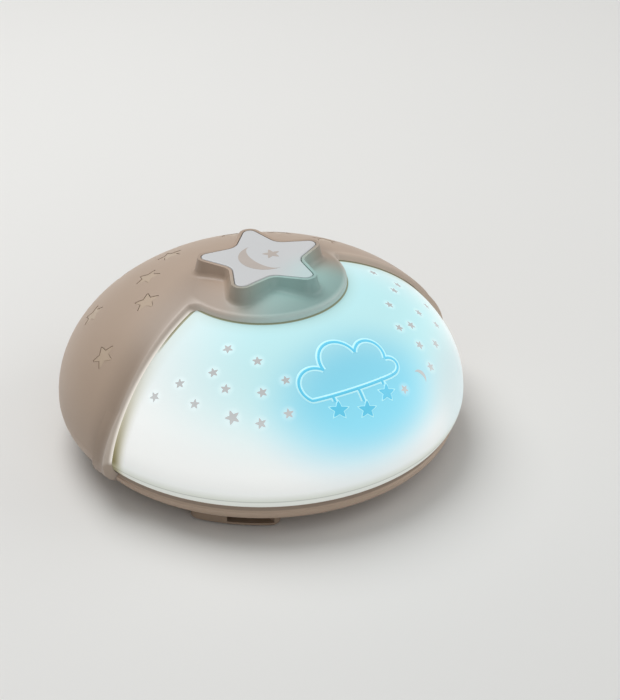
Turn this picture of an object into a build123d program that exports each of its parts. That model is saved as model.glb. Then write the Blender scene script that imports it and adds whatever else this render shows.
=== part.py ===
"""Domed night light with a star button and star projector windows, piece by piece.

Millimetres. +Z is up from the table, the white dome faces -Y, X runs across.
"""
import os
from math import asin, atan2, cos, degrees, radians, sin, sqrt

from build123d import *

os.makedirs("parts", exist_ok=True)

# Dome outline: one half ellipse above the waist, a flatter one tucking in below it
HOOD_R = 89.0
WAIST_Z = 21.4
DOME_RISE = 57.0
TUCK = 31.6
HOOD_WALL = 2.4
HOOD_LOW_Z = 10.0
LIP_GAP = 0.4
LENS_INSET = HOOD_WALL + LIP_GAP
LENS_WALL = 2.2
LENS_LAP = 6.0
CROWN_Z = WAIST_Z + DOME_RISE
# The dome's axis stands forward of the origin, so that the outline's box is centred
DOME_Y = -LENS_INSET / 2
# Bearing at which the round skins start and end, between the windows and posts
SEAM_BEARING = 147.5


def outline_r(inset, z):
    """Radius of the dome's outline set in by inset, at a height below the waist."""
    return (HOOD_R - inset) * sqrt(1 - ((WAIST_Z - z) / (TUCK - inset)) ** 2)


# Star button, its collar and the parts under it
STAR_TIP = 29.5
STAR_NOTCH = 15.0
TIP_ROUND = 3.0
NOTCH_ROUND = 7.0
STAR_TURN = 21.0
STAR_RISE = 4.1
STAR_PLATE = 2.0
STAR_SKIRT = 6.5
STAR_WALL = 1.6
STAR_GAP = 0.3
COLLAR_RIM = 1.3
COLLAR_DRAFT = 13.0
COLLAR_DROP = 0.2
COLLAR_FOOT = 2.5
PRESS = 1.8
STEM_R = 4.0
STEM_FIT = 0.08
HOOK_INSET = 3.5
GUIDE_DROP = 12.4
GUIDE_T = 2.0
GUIDE_EDGE = 4.0
GUIDE_SCREW_OUT = 6.5
KEY_GAP = 4.0
KEY_BOARD_R = 16.0
KEY_SCREW_INSET = 3.0
BOARD_T = 1.6
STAR_TOP_Z = CROWN_Z + STAR_RISE
HOOK_AT = STAR_NOTCH - HOOK_INSET
GUIDE_Z = CROWN_Z - GUIDE_DROP
GUIDE_SCREW_AT = STAR_NOTCH + GUIDE_SCREW_OUT
GUIDE_R = GUIDE_SCREW_AT + GUIDE_EDGE
KEY_BOARD_TOP = GUIDE_Z - KEY_GAP
KEY_SCREW_AT = KEY_BOARD_R - KEY_SCREW_INSET

# Base tray and its stepped front rim, which holds the lens
FLOOR_Z = 6.5
FLOOR_T = 2.2
SKIRT_FIT = 1.13
SKIRT_GAP = 0.4
BASE_WALL = 2.2
RIM_TOP_Z = 16.2
RIM_STEP = 1.5
BASE_DROP = 0.7
RIM_FLARE = 1.4
RIM_SETBACK = 3.0
RIM_BAND_DROP = 4.5
RIM_LIP = 0.95
RIM_GAP = 0.35
LENS_FIT = 0.37
BASE_R = outline_r(HOOD_WALL, HOOD_LOW_Z) - SKIRT_FIT
LEDGE_Z = RIM_TOP_Z - RIM_STEP
BASE_TOP = LEDGE_Z - BASE_DROP
RIM_LOW_R = BASE_R + RIM_FLARE
RIM_LIP_R = outline_r(LENS_INSET, RIM_TOP_Z) + LENS_FIT + RIM_LIP
RIM_BAND_R = RIM_LIP_R - RIM_SETBACK
RIM_BAND_Z = RIM_TOP_Z - RIM_BAND_DROP

# Hood's front edge: a wide arc in side view, a round lobe round the star, a lug at each end
EDGE_R = 61.2
EDGE_FRONT = 14.6
EDGE_RISE = 12.5
LOBE_RIM = 5.8
CORNER_ROUND = 4.5
EDGE_ROUND = 1.6
BAND_WIDTH = 7.2
BAND_RAISE = 1.7
BAND_DROP = 7.6
LUG_DROP = 0.5
LUG_LAP = 3.0
LUG_INSET = 0.4
LUG_ROUND = 3.4
EDGE_Y = EDGE_R - EDGE_FRONT
EDGE_Z = WAIST_Z + EDGE_RISE
LOBE_R = STAR_TIP + LOBE_RIM
BAND_FADE = DOME_RISE - BAND_DROP
LUG_LOW_Z = FLOOR_Z - LUG_DROP
LUG_TOP_Z = HOOD_LOW_Z + LUG_LAP
LUG_MID_Y = EDGE_Y - sqrt(EDGE_R**2 - (EDGE_Z - LUG_LOW_Z) ** 2) + BAND_WIDTH / 2 - LUG_INSET

# Star windows in two rings round the back of the hood: bearings from the back, drop below the crown
WINDOW_RINGS = [((19.0, 43.5, 68.0), 9.9), ((24.0, 52.0, 80.0), 24.4)]
WINDOW_TIP = 6.6
WINDOW_NOTCH = 3.0
WINDOW_ROUND = 0.5
WINDOW_GAP = 0.25

# Strap feet and their pads
FOOT_INSET = 1.1
FOOT_DEEP = 13.5
FOOT_BEARING = 45.0
FOOT_HALF = 14.5
FOOT_ROUND = 4.0
FOOT_LIFT = 0.6
PAD_T = 1.2
PAD_INSET = 2.4
SLOT_W = 15.0
SLOT_Z = 2.1
PEG_R = 2.0
PEG_INSET = 2.9
FOOT_OUT = BASE_R - FOOT_INSET
FOOT_IN = FOOT_OUT - FOOT_DEEP
FOOT_MID = (FOOT_IN + FOOT_OUT) / 2
PEG_SPREAD = FOOT_HALF - PEG_INSET
SLOT_MID = FOOT_MID * sin(radians(FOOT_BEARING)) * cos(radians(PEG_SPREAD))

# Screws, their posts, and the clearance kept round anything that only passes through
SCREW_R = 1.2
HEAD_R = 2.6
HEAD_T = 1.6
CLEAR = 0.3
POST_R = 4.0
POST_GAP = 4.4
POST_BEARINGS = (112.0, 165.0)
POST_RISE = 6.5
POST_SEAT = 2.5
BOSS_WALL = 1.8
POST_AT = BASE_R - BASE_WALL - POST_R - POST_GAP
POST_Z = FLOOR_Z + POST_RISE

# Battery bay for three cells lying across, with its door underneath
CELL_R = 7.25
CELL_LEN = 49.2
NUB_R = 2.7
NUB_LEN = 1.3
CELL_GAP = 0.3
CELL_LIFT = 0.4
CONTACT_ROOM = 1.6
BAY_SIDE = 0.35
BAY_HEAD = 0.6
BAY_WALL = 1.8
BAY_REAR = 21.3
DOOR_T = 1.8
DOOR_LEDGE = 1.4
DOOR_TAB_W = 12.0
DOOR_TAB_LEN = 10.5
DOOR_TAB_T = 3.0
DOOR_SCREW_OUT = 5.6
DOOR_SCREW_LEN = 8.0
DOOR_BOSS = 1.4
CELL_PITCH = 2 * CELL_R + CELL_GAP
BAY_X = CELL_LEN / 2 + NUB_LEN + CONTACT_ROOM
BAY_HALF_Y = CELL_PITCH + CELL_R + BAY_SIDE
BAY_TOP = FLOOR_Z + DOOR_T + CELL_LIFT + 2 * CELL_R + BAY_HEAD
BAY_Y = BASE_R - BASE_WALL - BAY_REAR - DOOR_TAB_LEN - DOOR_LEDGE - BAY_HALF_Y

# Speaker facing down through slots in the floor, filling the space in front of the bay
RING_OUT = 3.0
EAR_OUT = 6.0
EAR_R = SCREW_R + 2.8
EAR_GAP = 4.4
DOOR_GAP = 3.0
SLOT_PITCH = 4.2
GRILLE_SLOT = 2.2
GRILLE_INSET = 5.0
DOOR_FRONT = BAY_Y - BAY_HALF_Y - DOOR_LEDGE - DOOR_SCREW_OUT - DOOR_TAB_W / 2 - DOOR_BOSS
SPEAKER_ROOM = BASE_R - BASE_WALL + DOOR_FRONT - DOOR_GAP - EAR_GAP
SPEAKER_R = (SPEAKER_ROOM - RING_OUT - EAR_OUT - EAR_R) / 2
SPEAKER_Y = DOOR_FRONT - DOOR_GAP - RING_OUT - SPEAKER_R
EAR_AT = SPEAKER_R + EAR_OUT
MAGNET_R = 0.55 * SPEAKER_R

# Main board over the battery bay, its projector lamp on the dome's axis
BOARD_RISE = 6.4
BOARD_X = 66.0
BOARD_Y = 58.0
BOARD_FRONT = 11.0
POST_INSET_X = 9.0
POST_INSET_Y = 12.0
PLUG = (7.0, 5.0, 5.0)
PLUG_INSET = 5.0
PLUG_SPACING = 22.0
LEAD_R = 0.8
LEAD_BEND = 2.5
BOARD_Z = BAY_TOP + BAY_WALL + BOARD_RISE
BOARD_MID = BOARD_Y / 2 - BOARD_FRONT
POST_X = BOARD_X / 2 - POST_INSET_X
POST_Y = BOARD_Y / 2 - POST_INSET_Y
BOARD_POSTS = [(x, BOARD_MID + y) for y in (-POST_Y, POST_Y) for x in (-POST_X, POST_X)]
PLUG_X = BOARD_X / 2 - PLUG_INSET
PLUG_NEAR = BOARD_MID - PLUG_SPACING / 2
PLUG_FAR = BOARD_MID + PLUG_SPACING / 2
PLUG_AT = [(x, y) for y in (PLUG_NEAR, PLUG_FAR) for x in (-PLUG_X, PLUG_X)]

# Mode switch in a pocket at the back
SWITCH_TRAVEL = 4.0
POCKET_IN = 2.8
POCKET_DEEP = 3.0
SWITCH_DEEP = 8.2
SWITCH_BOSS_X = 11.0
SWITCH_BOSS_RISE = 9.1
POCKET_Y = HOOD_R - POCKET_IN
PAD_Y = POCKET_Y - POCKET_DEEP
SWITCH_BOARD_Y = PAD_Y - SWITCH_DEEP
SWITCH_BOSS = [(s * SWITCH_BOSS_X, WAIST_Z + SWITCH_BOSS_RISE) for s in (-1, 1)]

AXIS = Axis((0, DOME_Y, 0), (0, 0, 1))
side = Plane((0, DOME_Y, 0), x_dir=(1, 0, 0), z_dir=(0, -1, 0))
seam_x = (sin(radians(SEAM_BEARING)), -cos(radians(SEAM_BEARING)), 0)
seam = Plane((0, DOME_Y, 0), x_dir=seam_x, z_dir=(seam_x[1], -seam_x[0], 0))
cross = Plane((0, DOME_Y, 0), x_dir=(0, 1, 0), z_dir=(1, 0, 0))


def plan(z):
    """Level plane at height z, centred on the dome's axis."""
    return Plane((0, DOME_Y, z))


def upright(y):
    """Upright plane at distance y behind the dome's axis, facing forward: local x is X, local y is Z."""
    return Plane((0, DOME_Y + y, 0), x_dir=(1, 0, 0), z_dir=(0, -1, 0))


def at_bearing(radius, bearing):
    """Plan point at a bearing in degrees from the front, positive toward +X."""
    return (radius * sin(radians(bearing)), -radius * cos(radians(bearing)))


def dome(inset, z_low, rise=DOME_RISE):
    """Solid inside the dome's outline set in by inset, cut off level at z_low."""
    across = HOOD_R - inset
    low = TUCK - inset
    dip = degrees(asin((WAIST_Z - z_low) / low))
    with BuildPart(mode=Mode.PRIVATE) as solid:
        with BuildSketch(seam):
            with BuildLine():
                EllipticalCenterArc((0, WAIST_Z), across, rise - inset, 0, arc_size=90)
                EllipticalCenterArc((0, WAIST_Z), across, low, -dip, arc_size=dip)
                Polyline((0, WAIST_Z + rise - inset), (0, z_low), (across * cos(radians(dip)), z_low))
            make_face()
        revolve(axis=AXIS)
    return solid.part


def edge_arc(grow):
    """Space behind the hood's side edges, an arc in side view, grown outward by grow."""
    top = CROWN_Z + HOOD_WALL
    with BuildPart(mode=Mode.PRIVATE) as arc:
        with BuildSketch(cross):
            with Locations((EDGE_Y, EDGE_Z)):
                Circle(EDGE_R + grow)
            with Locations((EDGE_Y, top / 2)):
                Rectangle(4 * HOOD_R, top, mode=Mode.INTERSECT)
            with Locations((EDGE_Y + HOOD_R, top / 2)):
                Rectangle(2 * HOOD_R, top)
        extrude(amount=HOOD_R + 10, both=True)
    return arc.part


def hood_zone(grow):
    """Space behind the hood's whole front edge, round lobe included, grown outward by grow."""
    top = CROWN_Z + HOOD_WALL
    sides = edge_arc(grow)
    with BuildPart(mode=Mode.PRIVATE) as zone:
        add(sides)
        with BuildSketch(Plane((0, DOME_Y, 0), x_dir=(0, 1, 0), z_dir=(0, 0, 1))):
            Circle(LOBE_R + grow)
        extrude(amount=top)
        corners = []
        for e in zone.edges():
            p = e.position_at(0.5)
            if 2 < p.Z < top - 2 and abs(p.X) < LOBE_R + grow and p.Y < 12:
                corners.append(e)
        fillet(corners, CORNER_ROUND - grow)
    return zone.part


def star(place, tip, notch, tip_round, notch_round, grow=0.0, turn=0.0):
    """Five-pointed star face with rounded tips and notches, first tip along the place's +Y."""
    points = []
    for k in range(10):
        reach = tip if k % 2 == 0 else notch
        points.append((reach * sin(radians(36 * k + turn)), reach * cos(radians(36 * k + turn))))
    with BuildSketch(place, mode=Mode.PRIVATE) as outline:
        Polygon(*points, align=None)
        split = (tip + notch) / 2
        inner = [v for v in outline.sketch_local.vertices() if Vector(v).length < split]
        if notch_round:
            fillet(inner, notch_round)
        outer = [v for v in outline.sketch_local.vertices() if Vector(v).length > tip - 0.01]
        fillet(outer, tip_round)
        if grow:
            offset(amount=grow)
    return outline.sketch


def box(x, y, z):
    """Block between the given pairs of limits, measured from the dome's axis."""
    with BuildPart(mode=Mode.PRIVATE) as block:
        with BuildSketch(plan(z[0])):
            with Locations(((x[0] + x[1]) / 2, (y[0] + y[1]) / 2)):
                Rectangle(x[1] - x[0], y[1] - y[0])
        extrude(amount=z[1] - z[0])
    return block.part


def save(solid, label):
    """Name a piece and write it out."""
    solid.label = label
    export_step(solid, f"parts/{label}.step")


zone = hood_zone(0)
zone_band = edge_arc(-BAND_WIDTH)
zone_lens = hood_zone(-LENS_LAP)
zone_rim = hood_zone(RIM_GAP)
hood_solid = dome(0, HOOD_LOW_Z)
hood_hollow = dome(HOOD_WALL, HOOD_LOW_Z - 1)
post_points = [at_bearing(POST_AT, s * b) for b in POST_BEARINGS for s in (-1, 1)]
cap_place = Plane((0, DOME_Y, STAR_TOP_Z))
collar_place = Plane((0, DOME_Y, STAR_TOP_Z - COLLAR_DROP))
star_cap = star(cap_place, STAR_TIP, STAR_NOTCH, TIP_ROUND, NOTCH_ROUND, 0, STAR_TURN)
star_hole = star(cap_place, STAR_TIP, STAR_NOTCH, TIP_ROUND, NOTCH_ROUND, STAR_GAP, STAR_TURN)
star_rim = star(
    collar_place, STAR_TIP, STAR_NOTCH, TIP_ROUND, NOTCH_ROUND, STAR_GAP + COLLAR_RIM, STAR_TURN
)
notch_turns = [STAR_TURN + 36 + 72 * k for k in (0, 2, 3)]
guide_points = [(GUIDE_SCREW_AT * sin(radians(a)), GUIDE_SCREW_AT * cos(radians(a))) for a in notch_turns]

# Star windows: their places on the hood's outer face, each facing straight out
window_places = []
for turns, drop in WINDOW_RINGS:
    height = CROWN_Z - drop
    ring_r = HOOD_R * sqrt(1 - ((height - WAIST_Z) / DOME_RISE) ** 2)
    slope = atan2((height - WAIST_Z) / DOME_RISE**2, ring_r / HOOD_R**2)
    for turn in turns:
        for s in (-1, 1):
            out = (s * sin(radians(turn)), cos(radians(turn)))
            window_places.append(
                Plane(
                    (out[0] * ring_r, DOME_Y + out[1] * ring_r, height),
                    x_dir=(-out[1], out[0], 0),
                    z_dir=(out[0] * cos(slope), out[1] * cos(slope), sin(slope)),
                )
            )

# Rear cover: shell with a rolled front edge, raised end bands and lugs
with BuildPart() as band:
    add(dome(-BAND_RAISE, HOOD_LOW_Z, BAND_FADE))
    add(hood_hollow, mode=Mode.SUBTRACT)
    add(zone, mode=Mode.INTERSECT)
    add(zone_band, mode=Mode.SUBTRACT)
    front_low = box((-2 * HOOD_R, 2 * HOOD_R), (-HOOD_R, EDGE_Y), (HOOD_LOW_Z - 1, WAIST_Z + DOME_RISE / 2))
    add(front_low, mode=Mode.INTERSECT)

with BuildPart() as lug:
    add(dome(-BAND_RAISE, LUG_LOW_Z - 1, BAND_FADE))
    with BuildSketch(plan(0)):
        Circle(BASE_R + SKIRT_GAP)
    extrude(amount=40, mode=Mode.SUBTRACT)
    with BuildSketch(cross):
        with Locations((LUG_MID_Y, (LUG_LOW_Z + LUG_TOP_Z) / 2 + LUG_ROUND / 2)):
            RectangleRounded(BAND_WIDTH, LUG_TOP_Z - LUG_LOW_Z + LUG_ROUND, LUG_ROUND)
    extrude(amount=2 * HOOD_R, both=True, mode=Mode.INTERSECT)
    add(zone, mode=Mode.INTERSECT)
    add(box((-2 * HOOD_R, 2 * HOOD_R), (-HOOD_R, EDGE_Y), (0, LUG_TOP_Z)), mode=Mode.INTERSECT)

with BuildPart() as collar:
    extrude(star_rim, amount=STAR_RISE + 9, dir=(0, 0, -1), taper=-COLLAR_DRAFT)
    add(hood_hollow, mode=Mode.SUBTRACT)

with BuildPart() as posts:
    with BuildSketch(plan(POST_Z)):
        with Locations(*post_points):
            Circle(POST_R)
    extrude(amount=DOME_RISE)
    with BuildSketch(plan(GUIDE_Z + GUIDE_T)):
        with Locations(*guide_points):
            Circle(SCREW_R + BOSS_WALL)
    extrude(amount=GUIDE_DROP)
    add(dome(HOOD_WALL / 2, HOOD_LOW_Z), mode=Mode.INTERSECT)

with BuildPart() as switch_pad:
    with BuildSketch(upright(PAD_Y)):
        with Locations((0, WAIST_Z + 1.6)):
            RectangleRounded(34, 24, 2)
    extrude(amount=-6)
    add(dome(HOOD_WALL / 2, HOOD_LOW_Z), mode=Mode.INTERSECT)
    with BuildSketch(upright(SWITCH_BOARD_Y)):
        with Locations(*SWITCH_BOSS):
            Circle(SCREW_R + 1.5)
    extrude(amount=SWITCH_BOARD_Y - PAD_Y - 0.5)

with BuildPart() as rear_cover:
    add(hood_solid)
    add(hood_hollow, mode=Mode.SUBTRACT)
    add(zone, mode=Mode.INTERSECT)
    rim_edges = []
    for e in rear_cover.edges():
        p = e.position_at(0.5)
        r2 = p.X**2 + (p.Y - DOME_Y) ** 2
        on_skin = abs(r2 / HOOD_R**2 + ((p.Z - WAIST_Z) / DOME_RISE) ** 2 - 1) < 0.002
        if on_skin and p.Y < 3 and p.Z > WAIST_Z:
            rim_edges.append(e)
    fillet(rim_edges, EDGE_ROUND)
    add(band.part)
    add(lug.part)
    add(collar.part)
    extrude(star_hole, amount=30, dir=(0, 0, -1), mode=Mode.SUBTRACT)
    foot_edges = []
    for e in rear_cover.edges():
        p = e.position_at(0.5)
        r2 = p.X**2 + (p.Y - DOME_Y) ** 2
        on_skin = abs(r2 / HOOD_R**2 + ((p.Z - WAIST_Z) / DOME_RISE) ** 2 - 1) < 0.0005
        if on_skin and r2 < (LOBE_R - 2) ** 2:
            foot_edges.append(e)
    fillet(foot_edges, COLLAR_FOOT)
    with BuildSketch(plan(0)):
        Circle(BASE_R + SKIRT_GAP)
        Circle(BASE_R - BASE_WALL - SKIRT_GAP, mode=Mode.SUBTRACT)
    extrude(amount=BASE_TOP + SKIRT_GAP, mode=Mode.SUBTRACT)
    add(posts.part)
    add(switch_pad.part)
    with BuildSketch(plan(POST_Z)):
        with Locations(*post_points):
            Circle(SCREW_R + CLEAR)
    extrude(amount=13, mode=Mode.SUBTRACT)
    with BuildSketch(plan(GUIDE_Z + GUIDE_T)):
        with Locations(*guide_points):
            Circle(SCREW_R + CLEAR)
    extrude(amount=4.5, mode=Mode.SUBTRACT)
    with BuildSketch(upright(SWITCH_BOARD_Y)):
        with Locations(*SWITCH_BOSS):
            Circle(SCREW_R + CLEAR)
    extrude(amount=-6, mode=Mode.SUBTRACT)
    with BuildSketch(upright(POCKET_Y)):
        with Locations((0, WAIST_Z)):
            RectangleRounded(30, 12, 3)
    extrude(amount=-10, mode=Mode.SUBTRACT)
    with BuildSketch(upright(PAD_Y - 1)):
        with Locations((0, WAIST_Z)):
            Rectangle(2 * (SWITCH_TRAVEL + 4.6), 5.2)
    extrude(amount=-10, mode=Mode.SUBTRACT)
    for place in window_places:
        hole = star(place, WINDOW_TIP, WINDOW_NOTCH, WINDOW_ROUND, 0)
        extrude(hole, amount=4, both=True, mode=Mode.SUBTRACT)
save(rear_cover.part, "rear_cover")

# Star windows: clear inserts flush with the hood
with BuildPart() as star_windows:
    for place in window_places:
        extrude(star(place, WINDOW_TIP, WINDOW_NOTCH, WINDOW_ROUND, 0, -WINDOW_GAP), amount=4, both=True)
    add(dome(0.15, HOOD_LOW_Z), mode=Mode.INTERSECT)
    add(dome(HOOD_WALL, HOOD_LOW_Z - 1), mode=Mode.SUBTRACT)
save(star_windows.part, "star_windows")

# Diffuser dome: translucent shell that reaches close under the hood's edge
with BuildPart() as diffuser_dome:
    add(dome(LENS_INSET, LEDGE_Z))
    add(dome(LENS_INSET + LENS_WALL, LEDGE_Z - 1), mode=Mode.SUBTRACT)
    add(zone_lens, mode=Mode.SUBTRACT)
save(diffuser_dome.part, "diffuser_dome")

# Base tray: floor, wall, stepped front rim, battery bay, speaker seat and bosses
with BuildPart() as rim:
    with BuildSketch(side):
        with BuildLine():
            bow_z = FLOOR_Z + 0.4 * (RIM_BAND_Z - FLOOR_Z)
            bow_r = RIM_LOW_R + 0.72 * (RIM_BAND_R - RIM_LOW_R)
            ThreePointArc((RIM_LOW_R, FLOOR_Z), (bow_r, bow_z), (RIM_BAND_R, RIM_BAND_Z - 0.5))
            Line((RIM_BAND_R, RIM_BAND_Z - 0.5), (RIM_BAND_R - 0.5, RIM_BAND_Z))
            ThreePointArc(
                (RIM_BAND_R - 0.5, RIM_BAND_Z),
                (RIM_BAND_R - 0.5, RIM_BAND_Z + 0.4 * RIM_BAND_DROP),
                (RIM_LIP_R - 0.5, RIM_TOP_Z - 1.1),
            )
            Polyline(
                (RIM_LIP_R - 0.5, RIM_TOP_Z - 1.1),
                (RIM_LIP_R, RIM_TOP_Z - 0.6),
                (RIM_LIP_R - 0.3, RIM_TOP_Z),
                (RIM_LIP_R - RIM_LIP, RIM_TOP_Z),
                (RIM_LIP_R - RIM_LIP - 0.2, LEDGE_Z),
                (BASE_R - BASE_WALL, LEDGE_Z),
                (BASE_R - BASE_WALL, FLOOR_Z),
                (RIM_LOW_R, FLOOR_Z),
            )
        make_face()
    revolve(axis=AXIS)
    add(zone_rim, mode=Mode.SUBTRACT)
    with BuildSketch(plan(0)):
        with Locations((0, HOOD_R)):
            Rectangle(4 * HOOD_R, 2 * HOOD_R)
    extrude(amount=40, mode=Mode.SUBTRACT)

floor_top = FLOOR_Z + FLOOR_T
bay_roof = BAY_TOP + BAY_WALL
door_half_x = BAY_X + DOOR_LEDGE
door_half_y = BAY_HALF_Y + DOOR_LEDGE
door_screws_y = [BAY_Y - door_half_y - DOOR_SCREW_OUT, BAY_Y + door_half_y + DOOR_SCREW_OUT]
ear_points = []
for a in (30, 150, 270):
    ear_points.append((EAR_AT * cos(radians(a)), SPEAKER_Y + EAR_AT * sin(radians(a))))
foot_signs = {"front_left": (-1, 0), "front_right": (1, 0), "rear_left": (-1, 1), "rear_right": (1, 1)}
peg_points = []
for s, back in foot_signs.values():
    mid = s * (180 - FOOT_BEARING if back else FOOT_BEARING)
    for turn in (-PEG_SPREAD, PEG_SPREAD):
        peg_points.append(at_bearing(FOOT_MID, mid + turn))


def door_face(grow):
    """Battery door outline with a screw tab at each end, grown by grow."""
    with BuildSketch(plan(FLOOR_Z), mode=Mode.PRIVATE) as outline:
        with Locations((0, BAY_Y)):
            RectangleRounded(2 * (door_half_x + grow), 2 * (door_half_y + grow), 2)
            RectangleRounded(
                DOOR_TAB_W + 2 * grow, 2 * (door_half_y + DOOR_TAB_LEN + grow), DOOR_TAB_W / 2 - 0.5
            )
    return outline.sketch


def tab_face(grow):
    """The two screw tabs alone, beyond the door's main panel."""
    with BuildSketch(plan(FLOOR_Z), mode=Mode.PRIVATE) as outline:
        with Locations((0, BAY_Y)):
            RectangleRounded(
                DOOR_TAB_W + 2 * grow, 2 * (door_half_y + DOOR_TAB_LEN + grow), DOOR_TAB_W / 2 - 0.5
            )
            Rectangle(2 * BAY_X, 2 * (door_half_y + 0.6 - grow), mode=Mode.SUBTRACT)
    return outline.sketch


with BuildPart() as base_tray:
    with BuildSketch(side):
        with BuildLine():
            Polyline(
                (0, FLOOR_Z),
                (BASE_R - 1.6, FLOOR_Z),
                (BASE_R, FLOOR_Z + 1.6),
                (BASE_R, BASE_TOP),
                (BASE_R - BASE_WALL, BASE_TOP),
                (BASE_R - BASE_WALL, floor_top),
                (0, floor_top),
                (0, FLOOR_Z),
            )
        make_face()
    revolve(axis=AXIS)
    add(rim.part)
    with BuildSketch(plan(floor_top)):
        with Locations((0, BAY_Y)):
            Rectangle(2 * (BAY_X + BAY_WALL), 2 * (BAY_HALF_Y + BAY_WALL))
    extrude(amount=bay_roof - floor_top)
    with BuildSketch(plan(floor_top)):
        with Locations(*[(0, y) for y in door_screws_y]):
            Circle(DOOR_TAB_W / 2 + DOOR_BOSS)
    extrude(amount=8)
    with BuildSketch(plan(floor_top)):
        with Locations(*post_points):
            Circle(POST_R + 0.6)
    extrude(amount=POST_Z - floor_top)
    with BuildSketch(plan(floor_top)):
        with Locations((0, SPEAKER_Y)):
            Circle(SPEAKER_R + 2)
            Circle(SPEAKER_R + 0.5, mode=Mode.SUBTRACT)
        with Locations(*ear_points):
            Circle(EAR_R - 0.6)
    extrude(amount=1.5)
    with BuildSketch(plan(floor_top)):
        with Locations(*BOARD_POSTS):
            Circle(SCREW_R + BOSS_WALL)
    extrude(amount=BOARD_Z - floor_top)
    with BuildSketch(plan(FLOOR_Z + DOOR_T)):
        with Locations((0, BAY_Y)):
            Rectangle(2 * BAY_X, 2 * BAY_HALF_Y)
    extrude(amount=BAY_TOP - FLOOR_Z - DOOR_T, mode=Mode.SUBTRACT)
    extrude(door_face(CLEAR), amount=DOOR_T, mode=Mode.SUBTRACT)
    extrude(tab_face(CLEAR), amount=DOOR_TAB_T, mode=Mode.SUBTRACT)
    with BuildSketch(plan(FLOOR_Z)):
        with Locations(*[(0, y) for y in door_screws_y]):
            Circle(SCREW_R + CLEAR)
    extrude(amount=DOOR_TAB_T + DOOR_SCREW_LEN - 1, mode=Mode.SUBTRACT)
    with BuildSketch(plan(FLOOR_Z)):
        with Locations(*post_points):
            Circle(HEAD_R + CLEAR)
    extrude(amount=POST_RISE - POST_SEAT, mode=Mode.SUBTRACT)
    with BuildSketch(plan(FLOOR_Z)):
        with Locations(*post_points):
            Circle(SCREW_R + CLEAR)
    extrude(amount=POST_RISE, mode=Mode.SUBTRACT)
    with BuildSketch(plan(floor_top - 1.4)):
        with Locations(*ear_points):
            Circle(SCREW_R + CLEAR)
    extrude(amount=4, mode=Mode.SUBTRACT)
    with BuildSketch(plan(bay_roof + 0.8)):
        with Locations(*BOARD_POSTS):
            Circle(SCREW_R + CLEAR)
    extrude(amount=BOARD_Z - bay_roof, mode=Mode.SUBTRACT)
    with BuildSketch(plan(FLOOR_Z)):
        rows = int((SPEAKER_R - GRILLE_INSET - GRILLE_SLOT) / SLOT_PITCH)
        for k in range(-rows, rows + 1):
            reach = sqrt((SPEAKER_R - GRILLE_INSET) ** 2 - (SLOT_PITCH * k) ** 2)
            with Locations((0, SPEAKER_Y + SLOT_PITCH * k)):
                SlotOverall(2 * reach, GRILLE_SLOT)
        with Locations(*peg_points):
            Circle(PEG_R + CLEAR)
    extrude(amount=FLOOR_T, mode=Mode.SUBTRACT)
save(base_tray.part, "base_tray")


# Strap feet: arc blocks with a slot under the floor, pegged into it, and their pads
def arc_face(z, inner, outer, mid, half, corner):
    """Arc-shaped face on the level plane at z, its corners rounded."""
    start = mid - 90 - half
    with BuildSketch(plan(z), mode=Mode.PRIVATE) as face:
        with BuildLine():
            long = CenterArc((0, 0), outer, start, 2 * half)
            short = CenterArc((0, 0), inner, start, 2 * half)
            Line(long @ 0, short @ 0)
            Line(long @ 1, short @ 1)
        make_face()
        fillet(face.sketch_local.vertices(), corner)
    return face.sketch


for name, (s, back) in foot_signs.items():
    mid = s * (180 - FOOT_BEARING if back else FOOT_BEARING)
    pad_half = FOOT_HALF - degrees(PAD_INSET / FOOT_OUT)
    pad_args = (FOOT_IN + PAD_INSET, FOOT_OUT - PAD_INSET, mid, pad_half, FOOT_ROUND - PAD_INSET)
    with BuildPart() as foot:
        block = arc_face(FOOT_LIFT, FOOT_IN, FOOT_OUT, mid, FOOT_HALF, FOOT_ROUND)
        extrude(block, amount=FLOOR_Z - FOOT_LIFT)
        fillet(foot.faces().sort_by(Axis.Z)[0].edges(), 1.0)
        with BuildSketch(plan(SLOT_Z)):
            with Locations((s * SLOT_MID, 0)):
                Rectangle(SLOT_W, 4 * HOOD_R)
        extrude(amount=10, mode=Mode.SUBTRACT)
        with BuildSketch(plan(FLOOR_Z)):
            for turn in (-PEG_SPREAD, PEG_SPREAD):
                with Locations(at_bearing(FOOT_MID, mid + turn)):
                    Circle(PEG_R)
        extrude(amount=FLOOR_T + 1)
        extrude(arc_face(FOOT_LIFT, *pad_args), amount=PAD_T - FOOT_LIFT, mode=Mode.SUBTRACT)
    save(foot.part, f"strap_foot_{name}")
    with BuildPart() as pad:
        extrude(arc_face(0, *pad_args[:4], pad_args[4]), amount=PAD_T)
    save(pad.part, f"foot_pad_{name}")

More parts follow.
